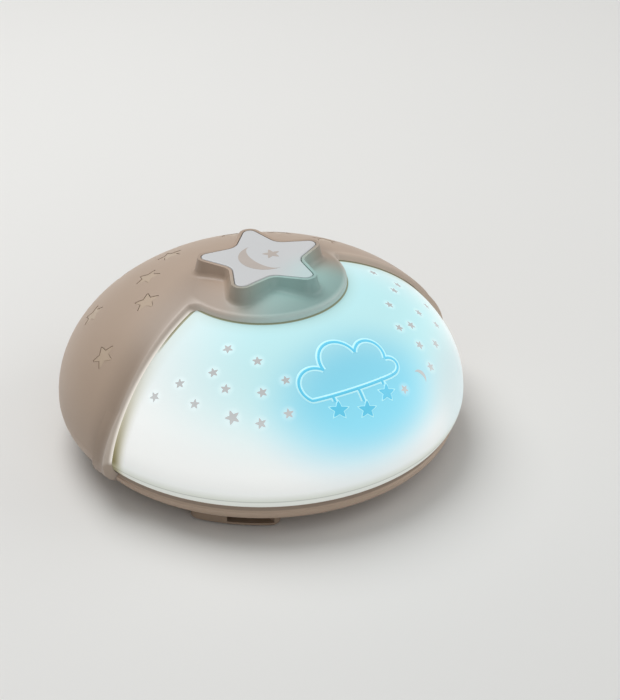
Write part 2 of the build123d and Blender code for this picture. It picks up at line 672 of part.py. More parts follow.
# Star button: hollow cap, stem in the guide's bore, three hooks under the guide
with BuildPart() as star_button:
    extrude(star_cap, amount=STAR_SKIRT, dir=(0, 0, -1))
    hollow_face = star(
        Plane((0, DOME_Y, STAR_TOP_Z - STAR_PLATE)),
        STAR_TIP,
        STAR_NOTCH,
        TIP_ROUND,
        NOTCH_ROUND,
        -STAR_WALL,
        STAR_TURN,
    )
    extrude(hollow_face, amount=STAR_SKIRT, dir=(0, 0, -1), mode=Mode.SUBTRACT)
    fillet(star_button.faces().sort_by(Axis.Z)[-1].edges(), 0.6)
    with BuildSketch(plan(GUIDE_Z - 0.05)):
        Circle(STEM_R)
    extrude(amount=STAR_TOP_Z - STAR_PLATE - GUIDE_Z + 0.05)
    with BuildSketch(plan(GUIDE_Z - 1.0)):
        with PolarLocations(HOOK_AT, 3, 90):
            Rectangle(1.6, 4)
    extrude(amount=STAR_TOP_Z - STAR_PLATE - GUIDE_Z + 1.0)
    with BuildSketch(plan(GUIDE_Z - 1.0)):
        with PolarLocations(HOOK_AT + 0.9, 3, 90):
            Rectangle(1.8, 4)
    extrude(amount=0.95)
save(star_button.part, "star_button")

# Guide plate under the hood's lobe
with BuildPart() as button_guide:
    with BuildSketch(plan(GUIDE_Z)):
        Circle(GUIDE_R)
    extrude(amount=GUIDE_T)
    with BuildSketch(plan(GUIDE_Z)):
        Circle(STEM_R + 2.6)
    extrude(amount=GUIDE_T + 2)
    with BuildSketch(plan(KEY_BOARD_TOP)):
        with PolarLocations(KEY_SCREW_AT, 3, 30):
            Circle(SCREW_R + 1.4)
    extrude(amount=GUIDE_Z - KEY_BOARD_TOP)
    with BuildSketch(plan(GUIDE_Z)):
        Circle(STEM_R + STEM_FIT)
        with PolarLocations(HOOK_AT + 0.3, 3, 90):
            Rectangle(3.0, 4.8)
        with Locations(*guide_points):
            Circle(SCREW_R + CLEAR)
    extrude(amount=GUIDE_T + 2, mode=Mode.SUBTRACT)
    with BuildSketch(plan(KEY_BOARD_TOP)):
        with PolarLocations(KEY_SCREW_AT, 3, 30):
            Circle(SCREW_R + CLEAR)
    extrude(amount=GUIDE_Z - KEY_BOARD_TOP, mode=Mode.SUBTRACT)
save(button_guide.part, "button_guide")

# Button board with the rubber dome that brings the star back up
with BuildPart() as button_board:
    with BuildSketch(plan(KEY_BOARD_TOP - BOARD_T)):
        Circle(KEY_BOARD_R)
        with PolarLocations(KEY_SCREW_AT, 3, 30):
            Circle(SCREW_R + CLEAR, mode=Mode.SUBTRACT)
    extrude(amount=BOARD_T)
save(button_board.part, "button_board")

with BuildPart() as rubber_dome:
    with BuildSketch(side):
        with BuildLine():
            Polyline(
                (7.0, KEY_BOARD_TOP),
                (7.0, KEY_BOARD_TOP + 0.9),
                (5.4, KEY_BOARD_TOP + 0.9),
                (3.6, GUIDE_Z - 1.2),
                (3.6, GUIDE_Z - 0.1),
                (0, GUIDE_Z - 0.1),
                (0, GUIDE_Z - 1.4),
                (2.6, GUIDE_Z - 1.6),
                (4.6, KEY_BOARD_TOP),
                (7.0, KEY_BOARD_TOP),
            )
        make_face()
    revolve(axis=AXIS)
save(rubber_dome.part, "rubber_dome")


def screws(points, seat_z, length, up=True):
    """Screws standing at plan points, heads seated at seat_z, shanks reaching up or down."""
    with BuildPart(mode=Mode.PRIVATE) as group:
        with BuildSketch(plan(seat_z)):
            with Locations(*points):
                Circle(HEAD_R)
        extrude(amount=-HEAD_T if up else HEAD_T)
        with BuildSketch(plan(seat_z)):
            with Locations(*points):
                Circle(SCREW_R)
        extrude(amount=length if up else -length)
    return group.part


with BuildPart() as guide_screws:
    add(screws(guide_points, GUIDE_Z, GUIDE_T + 4))
save(guide_screws.part, "guide_screws")

with BuildPart() as button_board_screws:
    turns = [radians(30 + 120 * k) for k in range(3)]
    third = [(KEY_SCREW_AT * cos(t), KEY_SCREW_AT * sin(t)) for t in turns]
    add(screws(third, KEY_BOARD_TOP - BOARD_T, BOARD_T + KEY_GAP - 0.6))
save(button_board_screws.part, "button_board_screws")

with BuildPart() as housing_screws:
    add(screws(post_points, POST_Z - POST_SEAT, 14))
save(housing_screws.part, "housing_screws")

# Main board and what sits on it
board_top = BOARD_Z + BOARD_T
with BuildPart() as main_board:
    with BuildSketch(plan(BOARD_Z)):
        with Locations((0, BOARD_MID)):
            RectangleRounded(BOARD_X, BOARD_Y, 3)
        with Locations(*BOARD_POSTS):
            Circle(SCREW_R + CLEAR, mode=Mode.SUBTRACT)
    extrude(amount=BOARD_T)
save(main_board.part, "main_board")

with BuildPart() as main_board_screws:
    add(screws(BOARD_POSTS, board_top, BOARD_T + 4.5, up=False))
save(main_board_screws.part, "main_board_screws")

with BuildPart() as projector_led:
    with BuildSketch(side):
        with BuildLine():
            Polyline((0, board_top + 9), (0, board_top), (4.6, board_top), (4.6, board_top + 1.2))
            Polyline((4.6, board_top + 1.2), (4.0, board_top + 1.2), (4.0, board_top + 5))
            CenterArc((0, board_top + 5), 4.0, 0, 90)
        make_face()
    revolve(axis=AXIS)
save(projector_led.part, "projector_led")

with BuildPart() as night_light_leds:
    with BuildSketch(plan(board_top)):
        with Locations(*[(x, 4.5 - BOARD_FRONT) for x in (-27, -13, 13, 27)]):
            RectangleRounded(5, 5, 0.6)
    extrude(amount=1.6)
save(night_light_leds.part, "night_light_leds")

with BuildPart() as control_chip:
    with BuildSketch(plan(board_top)):
        with Locations((0, BOARD_MID + 9)):
            Rectangle(16, 10)
    extrude(amount=2.0)
    chamfer(control_chip.faces().sort_by(Axis.Z)[-1].edges(), 0.5)
save(control_chip.part, "control_chip")

with BuildPart() as capacitor:
    with BuildSketch(plan(board_top)):
        with Locations((15, BOARD_MID - 6)):
            Circle(4)
    extrude(amount=9)
    fillet(capacitor.faces().sort_by(Axis.Z)[-1].edges(), 0.6)
save(capacitor.part, "capacitor")

with BuildPart() as wire_connectors:
    with BuildSketch(plan(board_top)):
        with Locations(*PLUG_AT):
            Rectangle(PLUG[0], PLUG[1])
    extrude(amount=PLUG[2])
save(wire_connectors.part, "wire_connectors")

# Speaker: frame with terminal block, cone, magnet, retaining ring and its screws
seat = floor_top
tag_x = SPEAKER_R - 1.8 - (SPEAKER_R - MAGNET_R - 2.6) / 2 + 0.4
with BuildPart() as speaker_frame:
    with BuildSketch(Plane((0, DOME_Y + SPEAKER_Y, seat), x_dir=(1, 0, 0), z_dir=(0, -1, 0))):
        with BuildLine():
            Polyline(
                (SPEAKER_R - 3, 0.6),
                (SPEAKER_R, 0.6),
                (SPEAKER_R, 1.5),
                (SPEAKER_R - 1.8, 1.5),
                (MAGNET_R + 0.8, 8.9),
                (MAGNET_R + 0.8, 9.3),
                (0, 9.3),
                (0, 8.1),
                (MAGNET_R - 0.4, 8.1),
                (SPEAKER_R - 3, 0.9),
                (SPEAKER_R - 3, 0.6),
            )
        make_face()
    revolve(axis=Axis((0, DOME_Y + SPEAKER_Y, 0), (0, 0, 1)))
    add(box((tag_x - 2, tag_x + 2), (SPEAKER_Y - 3, SPEAKER_Y + 3), (seat + 4.0, seat + 6.4)))
save(speaker_frame.part, "speaker_frame")

with BuildPart() as speaker_cone:
    with BuildSketch(Plane((0, DOME_Y + SPEAKER_Y, seat), x_dir=(1, 0, 0), z_dir=(0, -1, 0))):
        with BuildLine():
            Polyline(
                (SPEAKER_R, 0),
                (SPEAKER_R, 0.6),
                (SPEAKER_R - 4.2, 0.6),
                (0.25 * SPEAKER_R, 6.1),
                (0, 6.7),
                (0, 5.9),
                (0.23 * SPEAKER_R, 5.4),
                (SPEAKER_R - 4.8, 0),
                (SPEAKER_R, 0),
            )
        make_face()
    revolve(axis=Axis((0, DOME_Y + SPEAKER_Y, 0), (0, 0, 1)))
save(speaker_cone.part, "speaker_cone")

with BuildPart() as speaker_magnet:
    with BuildSketch(plan(seat + 9.3)):
        with Locations((0, SPEAKER_Y)):
            Circle(MAGNET_R)
    extrude(amount=6)
    chamfer(speaker_magnet.faces().sort_by(Axis.Z)[-1].edges(), 0.6)
save(speaker_magnet.part, "speaker_magnet")

with BuildPart() as speaker_retainer:
    with BuildSketch(plan(seat + 1.5)):
        with Locations((0, SPEAKER_Y)):
            Circle(SPEAKER_R + RING_OUT)
        with Locations(*ear_points):
            Circle(EAR_R)
        with Locations((0, SPEAKER_Y)):
            Circle(SPEAKER_R - 1.3, mode=Mode.SUBTRACT)
        with Locations(*ear_points):
            Circle(SCREW_R + CLEAR, mode=Mode.SUBTRACT)
    extrude(amount=1.8)
save(speaker_retainer.part, "speaker_retainer")

with BuildPart() as speaker_screws:
    add(screws(ear_points, seat + 3.3, 4.2, up=False))
save(speaker_screws.part, "speaker_screws")

# Three cells lying across, alternate ways round, and their contacts
cell_z = FLOOR_Z + DOOR_T + CELL_LIFT + CELL_R
for k, turn in ((0, 1), (1, -1), (2, 1)):
    cell_y = DOME_Y + BAY_Y + (k - 1) * CELL_PITCH
    minus_end = Plane((-turn * CELL_LEN / 2, cell_y, cell_z), x_dir=(0, 1, 0), z_dir=(turn, 0, 0))
    with BuildPart() as cell:
        with BuildSketch(minus_end):
            Circle(CELL_R)
        extrude(amount=CELL_LEN)
        with BuildSketch(minus_end.offset(CELL_LEN)):
            Circle(NUB_R)
        extrude(amount=NUB_LEN)
    save(cell.part, f"aa_cell_{k + 1}")

with BuildPart() as flat_contacts:
    for k, turn in ((0, 1), (1, -1), (2, 1)):
        y = BAY_Y + (k - 1) * CELL_PITCH
        tip = CELL_LEN / 2 + NUB_LEN
        far = sorted((turn * (BAY_X - 0.5), turn * BAY_X))
        add(box(far, (y - 5, y + 5), (cell_z - 5, cell_z + 5)))
        near = sorted((turn * tip, turn * (BAY_X - 0.5)))
        add(box(near, (y - 1.8, y + 1.8), (cell_z - 1.8, cell_z + 1.8)))
save(flat_contacts.part, "flat_contacts")

with BuildPart() as spring_contacts:
    for k, turn in ((0, -1), (1, 1), (2, -1)):
        y = BAY_Y + (k - 1) * CELL_PITCH
        near = turn * (CELL_LEN / 2 + 0.1)
        back = turn * BAY_X
        thick = turn * 0.5
        with BuildSketch(plan(cell_z - 4)):
            with BuildLine():
                ThreePointArc((back - thick, y - 5), (near, y), (back - thick, y + 5))
                Polyline((back - thick, y + 5), (back, y + 5), (back, y + 3.6))
                ThreePointArc((back, y + 3.6), (near + thick, y), (back, y - 3.6))
                Polyline((back, y - 3.6), (back, y - 5), (back - thick, y - 5))
            make_face()
        extrude(amount=8)
save(spring_contacts.part, "spring_contacts")

# Battery door with a screw tab at each end; its captive screws come off with it
with BuildPart() as battery_door:
    extrude(door_face(0), amount=DOOR_T)
    extrude(tab_face(0), amount=DOOR_TAB_T)
    with BuildSketch(plan(FLOOR_Z)):
        with Locations(*[(0, y) for y in door_screws_y]):
            Circle(HEAD_R + CLEAR)
    extrude(amount=HEAD_T, mode=Mode.SUBTRACT)
    with BuildSketch(plan(FLOOR_Z)):
        with Locations(*[(0, y) for y in door_screws_y]):
            Circle(SCREW_R + CLEAR)
    extrude(amount=DOOR_TAB_T, mode=Mode.SUBTRACT)
    with BuildSketch(plan(FLOOR_Z)):
        with Locations((0, BAY_Y)):
            with GridLocations(0, 3.6, 1, 5):
                SlotOverall(26, 1.6)
    extrude(amount=0.7, mode=Mode.SUBTRACT)
save(battery_door.part, "battery_door")

with BuildPart() as door_screws:
    add(screws([(0, y) for y in door_screws_y], FLOOR_Z + HEAD_T, DOOR_SCREW_LEN))
save(door_screws.part, "door_screws")

# Mode switch: knob in the hood's pocket, switch body, its board and screws
with BuildPart() as mode_switch_knob:
    add(box((-4.2, 4.2), (PAD_Y - 0.5, POCKET_Y + 2.0), (WAIST_Z - 2.3, WAIST_Z + 2.3)))
    for x in (-2.4, 0, 2.4):
        add(
            box((x - 0.4, x + 0.4), (POCKET_Y + 1.5, POCKET_Y + 3), (WAIST_Z - 3, WAIST_Z + 3)),
            mode=Mode.SUBTRACT,
        )
    add(box((-13.4, 13.4), (PAD_Y - 1.8, PAD_Y - CLEAR), (WAIST_Z - 4.8, WAIST_Z + 4.8)))
    add(box((-1.2, 1.2), (PAD_Y - 6, PAD_Y - 1.8), (WAIST_Z - 1.2, WAIST_Z + 1.2)))
save(mode_switch_knob.part, "mode_switch_knob")

with BuildPart() as mode_switch_body:
    add(box((-8, 8), (SWITCH_BOARD_Y, PAD_Y - 2.4), (WAIST_Z - 3.5, WAIST_Z + 3.5)))
    stub_x = SWITCH_TRAVEL + 1.5
    add(
        box((-stub_x, stub_x), (SWITCH_BOARD_Y + 1.8, PAD_Y), (WAIST_Z - 1.5, WAIST_Z + 1.5)),
        mode=Mode.SUBTRACT,
    )
save(mode_switch_body.part, "mode_switch_body")

with BuildPart() as switch_board:
    with BuildSketch(upright(SWITCH_BOARD_Y)):
        with Locations((0, WAIST_Z + 3.1)):
            RectangleRounded(30, 20, 1.5)
        with Locations(*SWITCH_BOSS):
            Circle(SCREW_R + CLEAR, mode=Mode.SUBTRACT)
    extrude(amount=BOARD_T)
save(switch_board.part, "switch_board")

with BuildPart() as switch_screws:
    with BuildSketch(upright(SWITCH_BOARD_Y - BOARD_T)):
        with Locations(*SWITCH_BOSS):
            Circle(HEAD_R)
    extrude(amount=HEAD_T)
    with BuildSketch(upright(SWITCH_BOARD_Y - BOARD_T)):
        with Locations(*SWITCH_BOSS):
            Circle(SCREW_R)
    extrude(amount=-6)
save(switch_screws.part, "switch_screws")

# Leads: two-core cables from the board's plugs
plug_z = board_top + PLUG[2] / 2
plug_end = PLUG_X + PLUG[0] / 2
key_low_z = KEY_BOARD_TOP - BOARD_T
bay_rear = BAY_Y + BAY_HALF_Y + BAY_WALL
LEADS = {
    "button_lead": [
        (-plug_end, PLUG_NEAR, plug_z),
        (-plug_end - 4, PLUG_NEAR, plug_z),
        (-plug_end - 4, PLUG_NEAR, key_low_z - 6.4),
        (-4, PLUG_NEAR, key_low_z - 6.4),
        (-4, PLUG_NEAR, key_low_z),
    ],
    "speaker_lead": [
        (plug_end, PLUG_NEAR, plug_z),
        (plug_end + 5, PLUG_NEAR, plug_z),
        (plug_end + 5, PLUG_NEAR, seat + 13.3),
        (plug_end + 5, SPEAKER_Y, seat + 13.3),
        (tag_x, SPEAKER_Y, seat + 13.3),
        (tag_x, SPEAKER_Y, seat + 6.4),
    ],
    "battery_lead": [
        (-plug_end, PLUG_FAR, plug_z),
        (-plug_end - 5, PLUG_FAR, plug_z),
        (-plug_end - 5, PLUG_FAR, cell_z),
        (-plug_end - 5, BAY_Y, cell_z),
        (-BAY_X - BAY_WALL, BAY_Y, cell_z),
    ],
    "switch_lead": [
        (plug_end, PLUG_FAR, plug_z),
        (plug_end + 5, PLUG_FAR, plug_z),
        (plug_end + 5, PLUG_FAR, WAIST_Z + 2.6),
        (plug_end + 5, bay_rear + 8, WAIST_Z + 2.6),
        (5, bay_rear + 8, WAIST_Z + 2.6),
        (5, SWITCH_BOARD_Y - BOARD_T, WAIST_Z + 2.6),
    ],
}
for name, path in LEADS.items():
    points = [(x, y + DOME_Y, z) for x, y, z in path]
    with BuildPart() as lead:
        with BuildLine() as run:
            FilletPolyline(*points, radius=LEAD_BEND)
        with BuildSketch(Plane(run.line @ 0, z_dir=run.line % 0)):
            Circle(LEAD_R)
        sweep()
    save(lead.part, name)
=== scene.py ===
import math

import bmesh
import bpy
from mathutils import Matrix, Vector


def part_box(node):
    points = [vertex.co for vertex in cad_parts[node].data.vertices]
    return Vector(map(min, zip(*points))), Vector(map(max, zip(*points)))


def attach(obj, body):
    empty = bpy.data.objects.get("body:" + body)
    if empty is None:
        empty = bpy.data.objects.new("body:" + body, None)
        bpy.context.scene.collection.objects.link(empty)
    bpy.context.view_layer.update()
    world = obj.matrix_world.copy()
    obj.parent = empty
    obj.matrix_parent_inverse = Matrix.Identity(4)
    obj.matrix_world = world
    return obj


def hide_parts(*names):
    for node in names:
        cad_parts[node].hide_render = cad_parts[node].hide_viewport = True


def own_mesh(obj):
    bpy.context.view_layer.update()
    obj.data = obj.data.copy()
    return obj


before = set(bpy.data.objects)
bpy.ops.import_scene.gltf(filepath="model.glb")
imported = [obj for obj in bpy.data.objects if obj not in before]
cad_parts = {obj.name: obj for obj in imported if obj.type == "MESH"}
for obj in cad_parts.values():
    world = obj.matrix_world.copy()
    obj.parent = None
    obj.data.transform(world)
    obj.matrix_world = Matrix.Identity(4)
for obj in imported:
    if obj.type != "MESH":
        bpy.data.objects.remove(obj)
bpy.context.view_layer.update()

# Base tray: the low tub that everything is screwed to, with a stepped rim under the
# white dome. Injection-moulded ABS in warm beige; the tool's spark-eroded skin breaks
# up reflections into a soft sheen. The battery door is moulded from the same resin.


def linear(code):
    """sRGB hex colour as linear RGBA."""
    parts = [int(code[i : i + 2], 16) / 255 for i in (1, 3, 5)]
    return (*[c / 12.92 if c <= 0.04045 else ((c + 0.055) / 1.055) ** 2.4 for c in parts], 1.0)


def add(material, kind, feeds=None, **settings):
    """Adds a node with its settings; feeds gives its sockets' values, or the sockets that drive them."""
    node = material.node_tree.nodes.new(kind)
    for name, value in settings.items():
        setattr(node, name, value)
    for name, value in (feeds or {}).items():
        if isinstance(value, bpy.types.NodeSocket):
            material.node_tree.links.new(value, node.inputs[name])
        else:
            node.inputs[name].default_value = value
    return node


def finish(name, deep, pale, patch_mm, grain_mm, grain_depth_mm, fixed):
    """Surface whose two tones drift over patch_mm, with a fine grain that stands grain_depth_mm high."""
    made = bpy.data.materials.new(name)
    made.use_nodes = True
    shader = made.node_tree.nodes["Principled BSDF"]
    for socket, value in fixed.items():
        shader.inputs[socket].default_value = value
    where = add(made, "ShaderNodeTexCoord").outputs["Object"]
    drift = add(made, "ShaderNodeTexNoise", {"Vector": where, "Scale": 1000 / patch_mm, "Detail": 3.0})
    tone = add(
        made,
        "ShaderNodeMix",
        {0: drift.outputs["Fac"], 6: linear(deep), 7: linear(pale)},
        data_type="RGBA",
        name="tone",
    )
    grain = add(made, "ShaderNodeTexNoise", {"Vector": where, "Scale": 1000 / grain_mm, "Detail": 2.0})
    bump = add(made, "ShaderNodeBump", {"Height": grain.outputs["Fac"], "Distance": grain_depth_mm / 1000})
    made.node_tree.links.new(tone.outputs[2], shader.inputs["Base Color"])
    made.node_tree.links.new(bump.outputs["Normal"], shader.inputs["Normal"])
    return made


def dress(material, *names):
    """Gives CAD nodes their finished material."""
    for name in names:
        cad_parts[name].data.materials.clear()
        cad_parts[name].data.materials.append(material)


GROOVE_LOW = (0.0116, 0.0122)
GROOVE_TOP = (0.0146, 0.0153)
GROOVE_SHADE = 0.60
LIP_LOW, LIP_TOP = 0.0150, 0.0158
LIP_LIGHT = 0.8
base_skin = {"Roughness": 0.42, "IOR": 1.54, "Emission Color": linear("#A7A29E")}
# the real skin's grit is about 0.1 mm; on the base, feet, hood and button it is drawn at 0.8 mm, to show
base_abs = finish("base_abs", "#B7A18E", "#C0AA97", 40, 0.8, 0.012, base_skin)
base_shader = base_abs.node_tree.nodes["Principled BSDF"]
base_tone = base_abs.node_tree.nodes["tone"].outputs[2]
base_where = base_abs.node_tree.nodes["Texture Coordinate"].outputs["Object"]
base_height = add(base_abs, "ShaderNodeSeparateXYZ", {"Vector": base_where}).outputs["Z"]
# painted shade darkens the groove under the rim's lip; painted light on the lip itself stands in for the
# dome's light falling on it
shades = []
for (start, end), below, over in ((GROOVE_TOP, GROOVE_SHADE, 1.0), (GROOVE_LOW, 1.0, GROOVE_SHADE)):
    span = {"Value": base_height, "From Min": start, "From Max": end, "To Min": below, "To Max": over}
    ramp = add(base_abs, "ShaderNodeMapRange", span, interpolation_type="SMOOTHSTEP")
    shades.append(ramp.outputs["Result"])
groove = add(base_abs, "ShaderNodeMath", dict(enumerate(shades)), operation="MAXIMUM").outputs[0]
groove_shaded_tone = add(base_abs, "ShaderNodeVectorMath", {0: base_tone, "Scale": groove}, operation="SCALE")
base_abs.node_tree.links.new(groove_shaded_tone.outputs["Vector"], base_shader.inputs["Base Color"])
# the lip's painted light is its emission
lip_span = {"Value": base_height, "From Min": LIP_LOW, "From Max": LIP_TOP, "To Max": LIP_LIGHT}
painted_lip_light = add(base_abs, "ShaderNodeMapRange", lip_span, interpolation_type="SMOOTHSTEP").outputs["Result"]
base_abs.node_tree.links.new(painted_lip_light, base_shader.inputs["Emission Strength"])
dress(base_abs, "base_tray", "battery_door")

# Strap feet: four arc-shaped blocks pegged into the floor, each with a slot for a
# strap. Moulded in the same ABS, coloured darker and browner than the base as painted shade for the shadow
# under the base, with grippy rubber pads let in below.
# painted shade: the feet are coloured darker than the base's ABS
shaded_foot_abs = finish("shaded_foot_abs", "#8E7A68", "#978371", 30, 0.8, 0.012, {"Roughness": 0.46, "IOR": 1.54})
pad_rubber = finish("pad_rubber", "#5F564F", "#6A6059", 12, 0.6, 0.03, {"Roughness": 0.85, "IOR": 1.52})
for corner in ("front_left", "front_right", "rear_left", "rear_right"):
    dress(shaded_foot_abs, f"strap_foot_{corner}")
    dress(pad_rubber, f"foot_pad_{corner}")

# Screws: zinc-plated self-tapping screws with pan heads, in the door, under the floor
# and inside. Bright plating with a fine grain.
zinc = finish("zinc_plated_steel", "#A9ABAD", "#C3C5C6", 3, 0.25, 0.006, {"Roughness": 0.34, "Metallic": 1.0})
dress(
    zinc,
    "door_screws",
    "housing_screws",
    "guide_screws",
    "button_board_screws",
    "main_board_screws",
    "speaker_screws",
    "switch_screws",
)

# Cells and contacts: three AA cells in plain shrink sleeves, and nickel-plated spring
# steel contacts pressed into the bay.
sleeve = finish("cell_sleeve", "#33465F", "#3B5070", 20, 0.5, 0.004, {"Roughness": 0.3, "IOR": 1.5})
nickel = finish("nickel_plate", "#B9B6AE", "#CDCAC2", 4, 0.3, 0.004, {"Roughness": 0.28, "Metallic": 1.0})
dress(sleeve, "aa_cell_1", "aa_cell_2", "aa_cell_3")
dress(nickel, "flat_contacts", "spring_contacts")

# Speaker: painted steel basket, black paper cone behind the floor's slots, ferrite
# magnet, and a polystyrene ring that is screwed down over it.
basket = finish("painted_basket", "#3A3A3C", "#464648", 8, 0.4, 0.006, {"Roughness": 0.5, "Metallic": 0.6})
paper = finish("cone_paper", "#1B1B1C", "#262627", 5, 0.5, 0.05, {"Roughness": 0.9, "IOR": 1.45})
ferrite = finish("ferrite", "#2A2A2C", "#353537", 4, 0.4, 0.03, {"Roughness": 0.62})
styrene = finish("white_polystyrene", "#DEDDD8", "#E6E5E1", 25, 0.8, 0.01, {"Roughness": 0.4, "IOR": 1.55})
dress(basket, "speaker_frame")
dress(paper, "speaker_cone")
dress(ferrite, "speaker_magnet")
dress(styrene, "speaker_retainer", "wire_connectors", "button_guide")

# Boards: glass-epoxy with green solder mask, screwed down. They carry the chip, the can,
# the lamps and the plugs; black PVC leads join them.
mask = finish("green_solder_mask", "#1C5A31", "#26693B", 9, 0.7, 0.02, {"Roughness": 0.36, "IOR": 1.55})
epoxy = finish("black_epoxy", "#141416", "#1E1E20", 4, 0.3, 0.01, {"Roughness": 0.48, "IOR": 1.55})
can = finish("sleeved_can", "#17181C", "#202228", 5, 0.4, 0.006, {"Roughness": 0.35})
clear = finish("clear_epoxy_lens", "#DCE6EA", "#E8F0F2", 6, 0.6, 0.002, {"Roughness": 0.12, "IOR": 1.53})
phosphor = finish("phosphor", "#E6DDB4", "#EFE8C4", 3, 0.3, 0.01, {"Roughness": 0.5})
pvc = finish("black_pvc", "#18181A", "#222224", 10, 0.5, 0.01, {"Roughness": 0.45, "IOR": 1.53})
dress(mask, "main_board", "button_board", "switch_board")
dress(epoxy, "control_chip", "mode_switch_body")
dress(can, "capacitor")
dress(clear, "projector_led")
dress(phosphor, "night_light_leds")
dress(pvc, "button_lead", "speaker_lead", "battery_lead", "switch_lead")

# Return dome: a soft silicone dome that sits on the star's board and brings the star
# back up. It is moulded in one piece, and flattens as the star is pressed.
SEAM_GAP = 1e-6
silicone = finish("grey_silicone", "#B5B6B7", "#BFC0C1", 6, 0.5, 0.02, {"Roughness": 0.7, "IOR": 1.43})
# the mesh is the CAD's own, with the points that double along its seams merged
bm = bmesh.new()
bm.from_mesh(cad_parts["rubber_dome"].data)
bmesh.ops.remove_doubles(bm, verts=bm.verts[:], dist=SEAM_GAP)
soft_mesh = bpy.data.meshes.new("return_dome")
bm.to_mesh(soft_mesh)
bm.free()
soft_mesh.materials.append(silicone)
return_dome = bpy.data.objects.new("return_dome", soft_mesh)
bpy.context.scene.collection.objects.link(return_dome)
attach(return_dome, "housing")
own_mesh(return_dome)
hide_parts("rubber_dome")

# White dome: a frosted polycarbonate shell, lit from inside by the board's lamps. Its
# glow is painted light, in its emission and its colour: cool blue over the lamps in front,
# fading to white towards its edges; beside the hood's lip painted shade makes the light die away.
DOME_Y = -0.0014
WAIST_Z = 0.0214
LENS_R = 0.0862
LENS_RISE = 0.0542
EDGE_Y = 0.0452
EDGE_Z = 0.0339
EDGE_R = 0.0612
LOBE_R = 0.0353
SEAT_Z = 0.0182
SEAT_LINE = 0.0005
LAMP_SPOT = (-0.002, -0.0725, 0.0515)
GLOW_SPOT = (0.008, -0.050, 0.065)
FAR_SPOT = (0.055, -0.066, 0.031)
frost = {"Roughness": 0.6, "IOR": 1.58, "Emission Strength": 1.0}
frosted = finish("frosted_polycarbonate", "#B9C2C3", "#C0C9CA", 60, 1.2, 0.004, frost)
glow = frosted.node_tree.nodes["Principled BSDF"]


def near(material, spot, inner, outer, level=1.0, width=1.0):
    """level within inner metres of a spot, falling to 0 at outer metres; width stretches it along X."""
    where = material.node_tree.nodes["Texture Coordinate"].outputs["Object"]
    off = add(material, "ShaderNodeVectorMath", {0: where, 1: spot}, operation="SUBTRACT")
    shrink = {0: off.outputs["Vector"], 1: (1 / width, 1.0, 1.0)}
    shrunk = add(material, "ShaderNodeVectorMath", shrink, operation="MULTIPLY")
    gap = add(material, "ShaderNodeVectorMath", {0: shrunk.outputs["Vector"]}, operation="LENGTH")
    fall = {"Value": gap.outputs["Value"], "From Min": inner, "From Max": outer}
    fall |= {"To Min": level, "To Max": 0.0}
    return add(material, "ShaderNodeMapRange", fall, interpolation_type="SMOOTHERSTEP").outputs["Result"]


where = frosted.node_tree.nodes["Texture Coordinate"].outputs["Object"]
lens_axes = add(frosted, "ShaderNodeSeparateXYZ", {"Vector": where}).outputs
height = lens_axes["Z"]
core = near(frosted, LAMP_SPOT, inner=0.008, outer=0.041, level=0.95, width=1.4)
wide = near(frosted, GLOW_SPOT, inner=0.022, outer=0.092, width=1.15)
above = {"Value": height, "From Min": 0.026, "From Max": 0.056}
raised = add(frosted, "ShaderNodeMapRange", above, interpolation_type="SMOOTHSTEP").outputs["Result"]
spread = add(frosted, "ShaderNodeMath", {0: wide, 1: raised}, operation="MULTIPLY").outputs[0]
tone = frosted.node_tree.nodes["tone"].outputs[2]
# painted light: the lamps' glow is also mixed into the shell's own colour, blue over the lamps
spread_glow_paint = {0: spread, 6: tone, 7: linear("#93B8BC")}
skin_painted_spread_glow = add(frosted, "ShaderNodeMix", spread_glow_paint, data_type="RGBA").outputs[2]
skin_painted_core_glow = add(frosted, "ShaderNodeMix", {0: core, 6: skin_painted_spread_glow, 7: linear("#5C9FB8")}, data_type="RGBA")
white, cyan = linear("#C2BFBC"), linear("#A0C7CA")
cyan_light = add(frosted, "ShaderNodeMix", {0: spread, 6: white, 7: cyan}, data_type="RGBA").outputs[2]
light = add(frosted, "ShaderNodeMix", {0: core, 6: cyan_light, 7: linear("#73B8C7")}, data_type="RGBA")


def behind_edge(material):
    """Depths in metres behind the hood's front edge: behind its arc in side view, and inside its lobe."""
    where = material.node_tree.nodes["Texture Coordinate"].outputs["Object"]
    depths = []
    for plane, centre, radius in (
        ((0.0, 1.0, 1.0), (0.0, EDGE_Y, EDGE_Z), EDGE_R),
        ((1.0, 1.0, 0.0), (0.0, DOME_Y, 0.0), LOBE_R),
    ):
        flat = add(material, "ShaderNodeVectorMath", {0: where, 1: plane}, operation="MULTIPLY")
        apart = {0: flat.outputs["Vector"], 1: centre}
        reach = add(material, "ShaderNodeVectorMath", apart, operation="DISTANCE").outputs["Value"]
        depths.append(add(material, "ShaderNodeMath", {0: radius, 1: reach}, operation="SUBTRACT").outputs[0])
    return depths


arc, lobe = behind_edge(frosted)
behind = add(frosted, "ShaderNodeMath", {0: arc, 1: lobe}, operation="MAXIMUM").outputs[0]
# painted shade on the shell beside the hood's lip, deeper low down
lip = {"Value": behind, "From Min": -0.007, "From Max": 0.0}
beside_lip = add(frosted, "ShaderNodeMapRange", lip, interpolation_type="SMOOTHSTEP").outputs["Result"]
depth = {"Value": height, "From Min": 0.020, "From Max": 0.062, "To Min": 0.95, "To Max": 0.12}
deeper = add(frosted, "ShaderNodeMapRange", depth).outputs["Result"]
shade = add(frosted, "ShaderNodeMath", {0: beside_lip, 1: deeper}, operation="MULTIPLY").outputs[0]
# painted shadow: a thin dark line under the lobe and the upper lip, where the gap that the shell slides into
# lies in shade
gap_shadow_span = {"Value": behind, "From Min": -0.0008, "From Max": -0.0003, "To Min": 0.0, "To Max": 0.75}
line_here = add(frosted, "ShaderNodeMapRange", gap_shadow_span, interpolation_type="SMOOTHSTEP").outputs["Result"]
